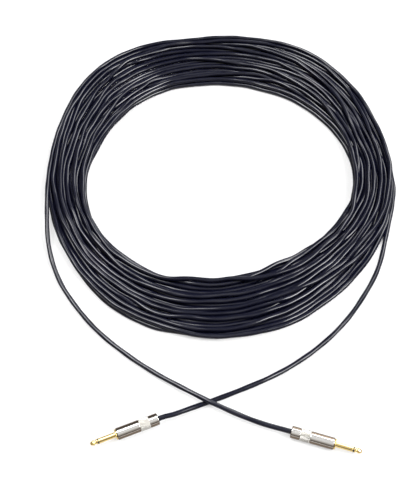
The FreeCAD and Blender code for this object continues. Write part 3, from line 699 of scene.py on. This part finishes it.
def shell(points, chart, along=True, caps=False, smooth=True, diamonds=False):
    """Skin of a grid of points: rows lie along the piece and columns close around it.

    chart gives each row's own length in metres. along tells whether the last row also joins
    the first; caps close both end rows instead. The faces are turned round if they would
    point inwards, which the sign of the enclosed volume tells. diamonds splits each quad
    between its two corners whose row and column add up to an even number.
    """
    rows, columns = points.shape[:2]
    i, j = np.meshgrid(np.arange(rows if along else rows - 1), np.arange(columns), indexing="ij")
    corners = [(i, j), (i, j + 1), (i + 1, j + 1), (i + 1, j)]
    quads = np.stack([row % rows * columns + column % columns for row, column in corners], -1)
    u = np.stack([column / columns for _, column in corners], -1)
    v = np.stack([chart[row % rows] for row, _ in corners], -1)
    quads, u, v = (values.reshape(-1, 4) for values in (quads, u, v))
    if diamonds:
        even = ((i + j) % 2 == 0).reshape(-1, 1)
        order = np.where(even, [[0, 1, 2, 0, 2, 3]], [[0, 1, 3, 1, 2, 3]])
        quads, u, v = (
            np.take_along_axis(values, order, 1).reshape(-1, 3) for values in (quads, u, v))
    flat = points.reshape(-1, 3)
    from_middle = flat - flat.mean(0)
    a, b, c, d = (from_middle[quads[:, k]] for k in (0, 1, 2, -1))
    volume = np.sum(a * (np.cross(b, c) + np.cross(c, d)))
    loops = quads.tolist()
    if caps:
        loops += [list(range(columns))[::-1], [(rows - 1) * columns + k for k in range(columns)]]
        u = np.append(u.ravel(), np.zeros(2 * columns))
        v = np.append(v.ravel(), np.zeros(2 * columns))
    uv = np.stack([u.ravel(), v.ravel()], -1)
    if volume < 0.0:
        size = quads.shape[1]
        turned_round = len(quads) * size
        loops = [face[::-1] for face in loops]
        sides = uv[:turned_round].reshape(-1, size, 2)[:, ::-1].reshape(-1, 2)
        uv = np.vstack([sides, uv[turned_round:]])
    return flat, loops, np.full(len(loops), smooth), uv


def build(name, *shells):
    """One object from several skins, with the smoothness and the map of each."""
    points, loops, smooth, uv = [], [], [], []
    for flat, faces, soft, chart in shells:
        start = sum(len(before) for before in points)
        points.append(flat)
        loops += [[start + corner for corner in face] for face in faces]
        smooth.append(soft)
        uv.append(chart)
    mesh = bpy.data.meshes.new(name)
    mesh.from_pydata(np.vstack(points).tolist(), [], loops)
    mesh.polygons.foreach_set("use_smooth", np.concatenate(smooth))
    mesh.uv_layers.new(name="UVMap").data.foreach_set("uv", np.vstack(uv).ravel())
    return add_object(name, mesh)


print("skins are ready")

# %% Tubes along lines


def directions(path):
    """At each point of a path, the level direction across it and the one upwards across it.

    side = the path's way crossed with straight up, and up = side crossed with the way.
    """
    way = unit(np.gradient(path, axis=0))
    side = unit(np.cross(way, [0.0, 0.0, 1.0]))
    return side, np.cross(side, way)


def sweep(path, profile_radius, around):
    """Rings of a tube: path + radius * (cos a * side + sin a * up)."""
    side, up = directions(path)
    a = np.arange(around) / around * 2.0 * math.pi
    r = profile_radius(a[None, :])
    return path[:, None] + r[..., None] * (np.cos(a)[None, :, None] * side[:, None]
                                          + np.sin(a)[None, :, None] * up[:, None])


print("tubes are ready")

# %% Shape the cord
# Rings of the tube, and points in a ring
RINGS = 6600
AROUND = 14
# Two soft ridges wind along the jacket, once in a lay's length, and stand this proud
LAY = 0.075
PROUD = 0.00014
# The ridges fade in between one and two of these lengths from either end
FADE = 0.04

run = np.linspace(0.0, cord_length, RINGS)
line = np.stack([np.interp(run, fine_run, fine[:, k]) for k in range(3)], axis=1)
# In the plugs the jacket is squeezed round; outside them it rests on its two ridges
free = smooth_step((np.minimum(run, cord_length - run) - FADE) / FADE)
line[:, 2] += PROUD * free


def jacket_radius(a):
    """Half the diameter plus a cosine wave, twice around, that winds once in a lay's length."""
    wave = np.cos(2.0 * (a - 2.0 * math.pi * run[:, None] / LAY))
    return CORD / 2.0 + PROUD * free[:, None] * wave


cord = build("cord", shell(sweep(line, jacket_radius, AROUND), along=False, caps=True, chart=run))
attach(cord, "cable")
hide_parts("cable_coil", "left_plug_lead", "right_plug_lead")
print("cord has", len(cord.data.polygons) * 2, "triangles")

# %% Finish the cord
jacket = Finish("jacket_black", specular_ior_level=0.0, coat_roughness=0.11, coat_ior=1.5)
turns_around, metres = jacket.chart()
angle_around = turns_around * (2.0 * math.pi)
cosine, sine = angle_around.maths("COSINE"), angle_around.maths("SINE")
# Cosine, sine and length are a place on a cylinder, so the noise closes around the cord.
# Handling leaves stretches of the skin brighter and others dull, about 5 cm long each.
polish = jacket.noise(jacket.vector(cosine * 0.35, sine * 0.35, metres * 20.0), 1.0, 3.0, 0.55)
grain = jacket.noise(jacket.vector(cosine * 0.003, sine * 0.003, metres), 1600.0, 2.0, 0.5)
# Soft vinyl has no mirror sheen at a flat angle
edge_on = jacket.node("LayerWeight", None, {"Blend": 0.5}, output="Facing")
jacket.set(
    base_color=jacket.mix(grain, (0.0024, 0.0027, 0.0078), (0.0040, 0.0044, 0.0115)),
    coat_weight=jacket.range(polish, 0.38, 0.62, 0.45, 1.0) * (1.0 - edge_on * 0.85),
    roughness=jacket.range(polish, 0.35, 0.65, 0.50, 0.34),
    normal=jacket.bump(grain, 0.00002, 0.6))
cord.data.materials.append(jacket.material)
print("jacket has", len(jacket.tree.nodes), "nodes")

# %% [markdown]
# ## Turned metal
#
# Barrel, contacts and rings come off a lathe, so each is an outline swung round the plug's
# axis. No tool leaves a knife edge: every corner of the outline is rounded by a tenth of a
# millimetre or two, and that thin round catches the light. Sizes are those of the solids, in
# millimetres from the barrel's rear face.

# %% Outlines with rounded corners
MM = 0.001
METAL_AROUND = 96
# A round takes at most this share of a side, a corner whose cosine is beyond this is as good as
# straight, and the two extra points lie this much further out than the round's own ends
SIDE_SHARE = 0.4
STRAIGHT = -0.97
BEYOND = 1.2


def rounded(outline, radius, closed=True):
    """Outline whose corners are short curves.

    A curve is (1 - t)^2 start + 2 t (1 - t) corner + t^2 end. Start and end lie beside the
    corner at the given distance, or nearer on a short side. One more point beyond each keeps
    flat faces flat where they are shaded smoothly.
    """
    points = np.array(outline, float)
    count = len(points)
    t = np.linspace(0.0, 1.0, 4)[:, None]
    smooth = []
    for k, corner in enumerate(points):
        if not closed and k in (0, count - 1):
            smooth.append([corner])
            continue
        back, on = points[k - 1] - corner, points[(k + 1) % count] - corner
        size = min(radius, SIDE_SHARE * np.linalg.norm(back), SIDE_SHARE * np.linalg.norm(on))
        back, on = unit(back) * size, unit(on) * size
        if back @ on < STRAIGHT * size * size:
            smooth.append([corner])
            continue
        curve = (1 - t) ** 2 * (corner + back) + 2 * t * (1 - t) * corner + t ** 2 * (corner + on)
        smooth += [[corner + BEYOND * back], curve, [corner + BEYOND * on]]
    return np.vstack(smooth)


def turned(side, outline, cut=None, **kind):
    """Skin of an outline swung round a plug's axis: y = radius * cos a, z = radius * sin a.

    cut gives how deep a tool goes at a place's x, radius and angle.
    """
    angle = np.arange(METAL_AROUND) / METAL_AROUND * 2.0 * math.pi
    x = outline[:, :1] + 0.0 * angle
    r = outline[:, 1:] + 0.0 * angle
    if cut is not None:
        r = r - cut(x, r, angle)
    grid = np.stack([x, r * np.cos(angle), r * np.sin(angle)], axis=-1) * MM
    return shell(PLUGS[side].out(grid), chart=outline[:, 0] * MM, **kind)


def finish_piece(piece, body, node, finish):
    """The piece stands for a CAD node, rides its body and gets its finish."""
    piece.data.materials.append(finish.material)
    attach(piece, body)
    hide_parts(node)


print("outlines are ready")

# %% Finishes of the plugs
nickel = Finish("nickel", metallic=1.0)
_, metres = nickel.chart()
# Fine rings that the lathe left, and smears that handling left
rings = nickel.noise(nickel.vector(metres, 0.0, 0.0), 2600.0, 3.0, 0.6)
smears = nickel.noise(nickel.place(), 130.0, 3.0, 0.55)
# Painted reflection: seen at a slant, the sides are painted darker and browner, for the dark room
# they mirror
edge_on = nickel.node("LayerWeight", None, {"Blend": 0.5}, output="Facing")
painted_side_reflection = nickel.range(edge_on, 0.11, 0.29, kind="SMOOTHSTEP")
nickel.set(
    base_color=nickel.mix(painted_side_reflection, (0.70, 0.685, 0.66), (0.13, 0.094, 0.066)),
    roughness=nickel.range(rings * 0.5 + smears * 0.5, 0.35, 0.65, 0.075, 0.15),
    normal=nickel.bump(rings, 0.000004, 0.5))

satin_nickel = Finish("satin_nickel", metallic=1.0)
dust = satin_nickel.noise(satin_nickel.place(), 900.0, 2.0, 0.5)
satin_nickel.set(
    base_color=satin_nickel.mix(dust, (0.49, 0.48, 0.455), (0.60, 0.59, 0.56)),
    roughness=satin_nickel.range(dust, 0.3, 0.7, 0.40, 0.52))

gold = Finish("gold", metallic=1.0)
_, metres = gold.chart()
rings = gold.noise(gold.vector(metres, 0.0, 0.0), 2200.0, 3.0, 0.6)
wear = gold.noise(gold.place(), 420.0, 4.0, 0.6)
gold.set(
    base_color=gold.mix(wear, (0.66, 0.49, 0.19), (0.78, 0.61, 0.28)),
    roughness=gold.range(rings * 0.5 + wear * 0.5, 0.35, 0.65, 0.06, 0.14),
    normal=gold.bump(rings, 0.000004, 0.5))

black_plastic = Finish("black_plastic")
specks = black_plastic.noise(black_plastic.place(), 1800.0, 2.0, 0.5)
black_plastic.set(
    base_color=black_plastic.mix(specks, grey(0.008), grey(0.018)),
    roughness=black_plastic.range(specks, 0.3, 0.7, 0.24, 0.40))
print("finishes are ready")

# %% [markdown]
# ## The barrel
#
# The knurl is real: 56 rows of small pyramids around, pressed in as two crossing sets of
# V grooves. A grid of half steps does it: points whose row and column add up to an even number
# are groove crossings and lie low, the others are tips. Each quad is split between its two low
# corners, which is where a groove runs.

# %% Barrels
BARREL = [
    (0.0, 4.8), (0.0, 6.55), (0.6, 7.15), (10.7, 7.15), (10.7, 6.65), (23.5, 6.65), (23.5, 7.15),
    (50.4, 7.15), (51.0, 6.55), (51.0, 6.0), (2.7, 6.0), (2.7, 4.3), (0.5, 4.3),
]
KNURL_START, KNURL_END = 11.2, 23.0
KNURL_TIP, KNURL_LOW, KNURL_EDGE, KNURL_ROOT = 7.35, 7.05, 6.95, 6.4
KNURL_TEETH = 56
KNURL_STEPS = 28


def knurl(side):
    """Band of pyramids, closed below its surface."""
    x = np.linspace(KNURL_START, KNURL_END, KNURL_STEPS + 1)
    columns = 2 * KNURL_TEETH
    row, column = np.meshgrid(np.arange(KNURL_STEPS + 1), np.arange(columns), indexing="ij")
    r = np.where((row + column) % 2 == 0, KNURL_LOW, KNURL_TIP)
    r[[0, -1]] = KNURL_EDGE
    x = np.concatenate([x, [KNURL_END, KNURL_START]])
    r = np.vstack([r, np.full((2, columns), KNURL_ROOT)])
    angle = np.arange(columns) * math.pi / KNURL_TEETH
    grid = np.stack([x[:, None] + 0.0 * angle, r * np.cos(angle), r * np.sin(angle)], axis=-1) * MM
    return shell(PLUGS[side].out(grid), smooth=False, chart=x * MM, diamonds=True)


for side in PLUGS:
    barrel = build(side + "_barrel_turned", turned(side, rounded(BARREL, radius=0.18)), knurl(side))
    finish_piece(barrel, side + "_barrel", side + "_barrel", nickel)
    barrel.data.materials.append(satin_nickel.material)
    # The knurl's faces are flat and satin, all others are smooth and polished
    smooth = np.empty(len(barrel.data.polygons), bool)
    barrel.data.polygons.foreach_get("use_smooth", smooth)
    barrel.data.polygons.foreach_set("material_index", np.where(smooth, 0, 1).astype(np.int32))
print("barrels have", len(barrel.data.polygons), "faces each")

# %% [markdown]
# ## The contacts
#
# The sleeve contact is finger, flange and threaded land in one piece. Its thread is the land's
# outline cut by a wave that moves on by one pitch in each turn. Tip and ring close the finger.

# %% Contacts
LAND_BACK, LAND_FRONT, LAND = 43.8, 50.2, 5.925
THREAD_PITCH, THREAD_CUT = 0.8, 0.42
# The thread is cut between these places, and only into points within this skin of the land
THREAD_BACK, THREAD_FRONT = LAND_BACK + 0.3, LAND_FRONT - 0.1
SKIN = 0.05
CHAMFER = 0.35
UNDERCUT = LAND - 0.45
FLANGE_BACK, FLANGE_FRONT, FLANGE = 51.2, 52.8, 6.3
FINGER, SLEEVE_BORE, ROD = 3.175, 2.45, 1.25
RING_BACK, RING_FRONT, TIP_END = 73.1, 74.6, 83.3


def thread(x, r, angle):
    """Cut of a V thread: a wave of one pitch along x that moves on with the angle.

    phase = x / pitch - angle / a full turn, and the wave is twice its distance from a half.
    """
    phase = (x - LAND_BACK) / THREAD_PITCH - angle / (2.0 * math.pi)
    wave = np.abs((phase % 1.0) - 0.5) * 2.0
    on_land = (r > LAND - SKIN) & (x > THREAD_BACK) & (x < THREAD_FRONT)
    return THREAD_CUT * wave * on_land


# Rows lie about 0.09 mm apart, close enough for the thread's wave
LAND_ROWS = [(float(x), LAND) for x in np.linspace(LAND_BACK + 0.4, LAND_FRONT - 0.15, 65)]
SLEEVE_START = [
    (LAND_BACK, SLEEVE_BORE), (LAND_BACK, LAND - CHAMFER), (LAND_BACK + CHAMFER, LAND),
]
SLEEVE_REST = [
    (LAND_FRONT, LAND), (LAND_FRONT, UNDERCUT), (FLANGE_BACK, UNDERCUT),
    (FLANGE_BACK, FLANGE - CHAMFER), (FLANGE_BACK + CHAMFER, FLANGE),
    (FLANGE_FRONT - CHAMFER, FLANGE), (FLANGE_FRONT, FLANGE - CHAMFER), (FLANGE_FRONT, FINGER),
    (RING_BACK, FINGER), (RING_BACK, SLEEVE_BORE),
]
SLEEVE = np.vstack([rounded(SLEEVE_START, radius=0.1, closed=False), LAND_ROWS,
                    rounded(SLEEVE_REST, radius=0.1, closed=False)])
TIP_BACK = [(40.4, 0.2), (40.4, 1.8), (41.2, 1.8), (41.2, ROD), (RING_FRONT, ROD),
            (RING_FRONT, FINGER), (75.5, FINGER), (76.8, 2.2), (77.7, 2.2)]
NOSE = [(78.9, FINGER), (79.9, 3.02), (80.9, 2.72), (81.8, 2.33), (82.6, 1.87), (83.15, 1.45),
        (TIP_END, 1.0)]
TIP = np.vstack([rounded(TIP_BACK + NOSE[:1], radius=0.12, closed=False), NOSE[1:],
                 [(TIP_END, 0.2)]])
RING = [(RING_BACK, ROD), (RING_BACK, FINGER), (RING_FRONT, FINGER), (RING_FRONT, ROD)]

for side in PLUGS:
    sleeve = build(side + "_sleeve_turned", turned(side, SLEEVE, cut=thread))
    finish_piece(sleeve, "cable", side + "_sleeve_contact", gold)
    tip = build(side + "_tip_turned", turned(side, TIP, along=False, caps=True))
    finish_piece(tip, "cable", side + "_tip_contact", gold)
    ring = build(side + "_ring_turned", turned(side, rounded(RING, radius=0.06)))
    finish_piece(ring, "cable", side + "_ring_insulator", black_plastic)
print("sleeve has", len(sleeve.data.polygons), "faces, tip", len(tip.data.polygons))

# %% [markdown]
# ## Bare copper inside the plug
#
# The centre wire and the screen are both thin strands laid around one another. Each strand
# follows the wire's middle line, a spline like the cord's, at a small distance and turns about
# it as it goes, so one function winds both: it takes the line, the half width and the lay.

# %% Wound strands
# Half widths and lays of both, the wire's ends, and the height of the strip under the pigtail
WIRE, PIGTAIL = 0.45, 0.55
WIRE_LAY, PIGTAIL_LAY = 7.0, 5.0
WIRE_BACK, WIRE_FRONT = 28.4, 36.2
STRIP = -4.6
# Strands around the middle one, and the points around each
STRANDS = 6
STRAND_AROUND = 10
WIRE_LINE = [(WIRE_BACK, 0, 0), (31.0, 0, 0), (33.6, 0, 0), (WIRE_FRONT, 0, 0)]
PIGTAIL_LINE = [(25.0, 0, -2.35), (26.4, 0, -2.35), (28.9, 0, STRIP + PIGTAIL),
                (30.5, 0, STRIP + PIGTAIL), (32.55, 0, STRIP + PIGTAIL)]

copper = Finish("copper", metallic=1.0)
tint = copper.noise(copper.place(), 900.0, 3.0, 0.6)
copper.set(
    base_color=copper.mix(tint, (0.80, 0.42, 0.26), (0.93, 0.60, 0.42)),
    roughness=copper.range(tint, 0.3, 0.7, 0.18, 0.34))


def wound(middle, half_width, lay):
    """Skins of strands that turn about a line, one round per lay, and touch one another.

    Six equal circles around one of the same size fill a circle of three times its radius.
    """
    thin = half_width / 3.0
    run = lengths_along(middle)
    side, up = directions(middle)
    lines = [middle]
    for number in range(STRANDS):
        a = 2.0 * math.pi * (run / lay + number / STRANDS)
        lines.append(middle + 2.0 * thin * (np.cos(a)[:, None] * side + np.sin(a)[:, None] * up))
    return [shell(sweep(line, lambda a: thin + 0.0 * a * run[:, None], STRAND_AROUND),
                  along=False, caps=True, chart=run) for line in lines]


for side, plug in PLUGS.items():
    middle = spline_points("wire_line", plug.out(np.array(WIRE_LINE) * MM), resolution=20)
    wire = build(side + "_wire_wound", *wound(middle, WIRE * MM, WIRE_LAY * MM))
    finish_piece(wire, "cable", side + "_centre_wire", copper)
    middle = spline_points("pigtail_line", plug.out(np.array(PIGTAIL_LINE) * MM), resolution=20)
    pigtail = build(side + "_pigtail_wound", *wound(middle, PIGTAIL * MM, PIGTAIL_LAY * MM))
    finish_piece(pigtail, "cable", side + "_shield_pigtail", copper)
print("wire has", len(wire.data.polygons), "faces, pigtail", len(pigtail.data.polygons))

# %% [markdown]
# ## Finishes of the solids that stay
#
# Liners, washers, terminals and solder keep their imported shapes, which are right as they are,
# and get finishes of their own: milky plastic, pressed fibre, tinned sheet and solder.

# %% Dress the solids that stay
liner_plastic = Finish("liner_plastic", transmission_weight=0.25, ior=1.5)
clouds = liner_plastic.noise(liner_plastic.place(), 160.0, 3.0, 0.55)
liner_plastic.set(
    base_color=liner_plastic.mix(clouds, (0.80, 0.79, 0.74), (0.88, 0.87, 0.84)),
    roughness=liner_plastic.range(clouds, 0.3, 0.7, 0.28, 0.42))

foam = Finish("core_foam")
cells = foam.node("TexVoronoi", None, {"Vector": foam.place(), "Scale": 4000.0})
foam.set(
    base_color=foam.mix(cells, (0.90, 0.90, 0.88), (0.76, 0.76, 0.72)),
    roughness=0.5,
    normal=foam.bump(cells, 0.00002, 0.4))

fibre = Finish("pressed_fibre")
fluff = fibre.noise(fibre.place(), 700.0, 5.0, 0.65)
fibre.set(
    base_color=fibre.mix(fibre.range(fluff, 0.3, 0.7), (0.055, 0.022, 0.014), (0.13, 0.055, 0.032)),
    roughness=fibre.range(fluff, 0.3, 0.7, 0.55, 0.80),
    normal=fibre.bump(fluff, 0.00003, 0.5))

tinned = Finish("tinned_sheet", metallic=1.0)
grains = tinned.noise(tinned.place(), 1100.0, 4.0, 0.6)
tinned.set(
    base_color=tinned.mix(grains, (0.50, 0.50, 0.49), (0.66, 0.66, 0.65)),
    roughness=tinned.range(grains, 0.3, 0.7, 0.28, 0.44),
    normal=tinned.bump(grains, 0.00001, 0.4))

solder = Finish("solder", metallic=1.0)
frost = solder.noise(solder.place(), 1500.0, 3.0, 0.6)
solder.set(
    base_color=solder.mix(frost, grey(0.52), grey(0.68)),
    roughness=solder.range(frost, 0.3, 0.7, 0.22, 0.40))

KEPT = {
    "liner": liner_plastic, "tube_insulator": liner_plastic, "cable_core": foam,
    "rear_washer": fibre, "ground_terminal": tinned, "tip_terminal": tinned,
    "tip_solder": solder, "ground_solder": solder,
}
for side in PLUGS:
    for name, finish in KEPT.items():
        solid = frame["nodes"][side + "_" + name]
        for part in solid.material_slots:
            part.material = finish.material
print(2 * len(KEPT), "solids keep their shape")

tuple(PLUGS["left"].out([0, 0, 0]))
print("cord declared along", len(line), "points")

# %% End of the scene
print("the scene is built")
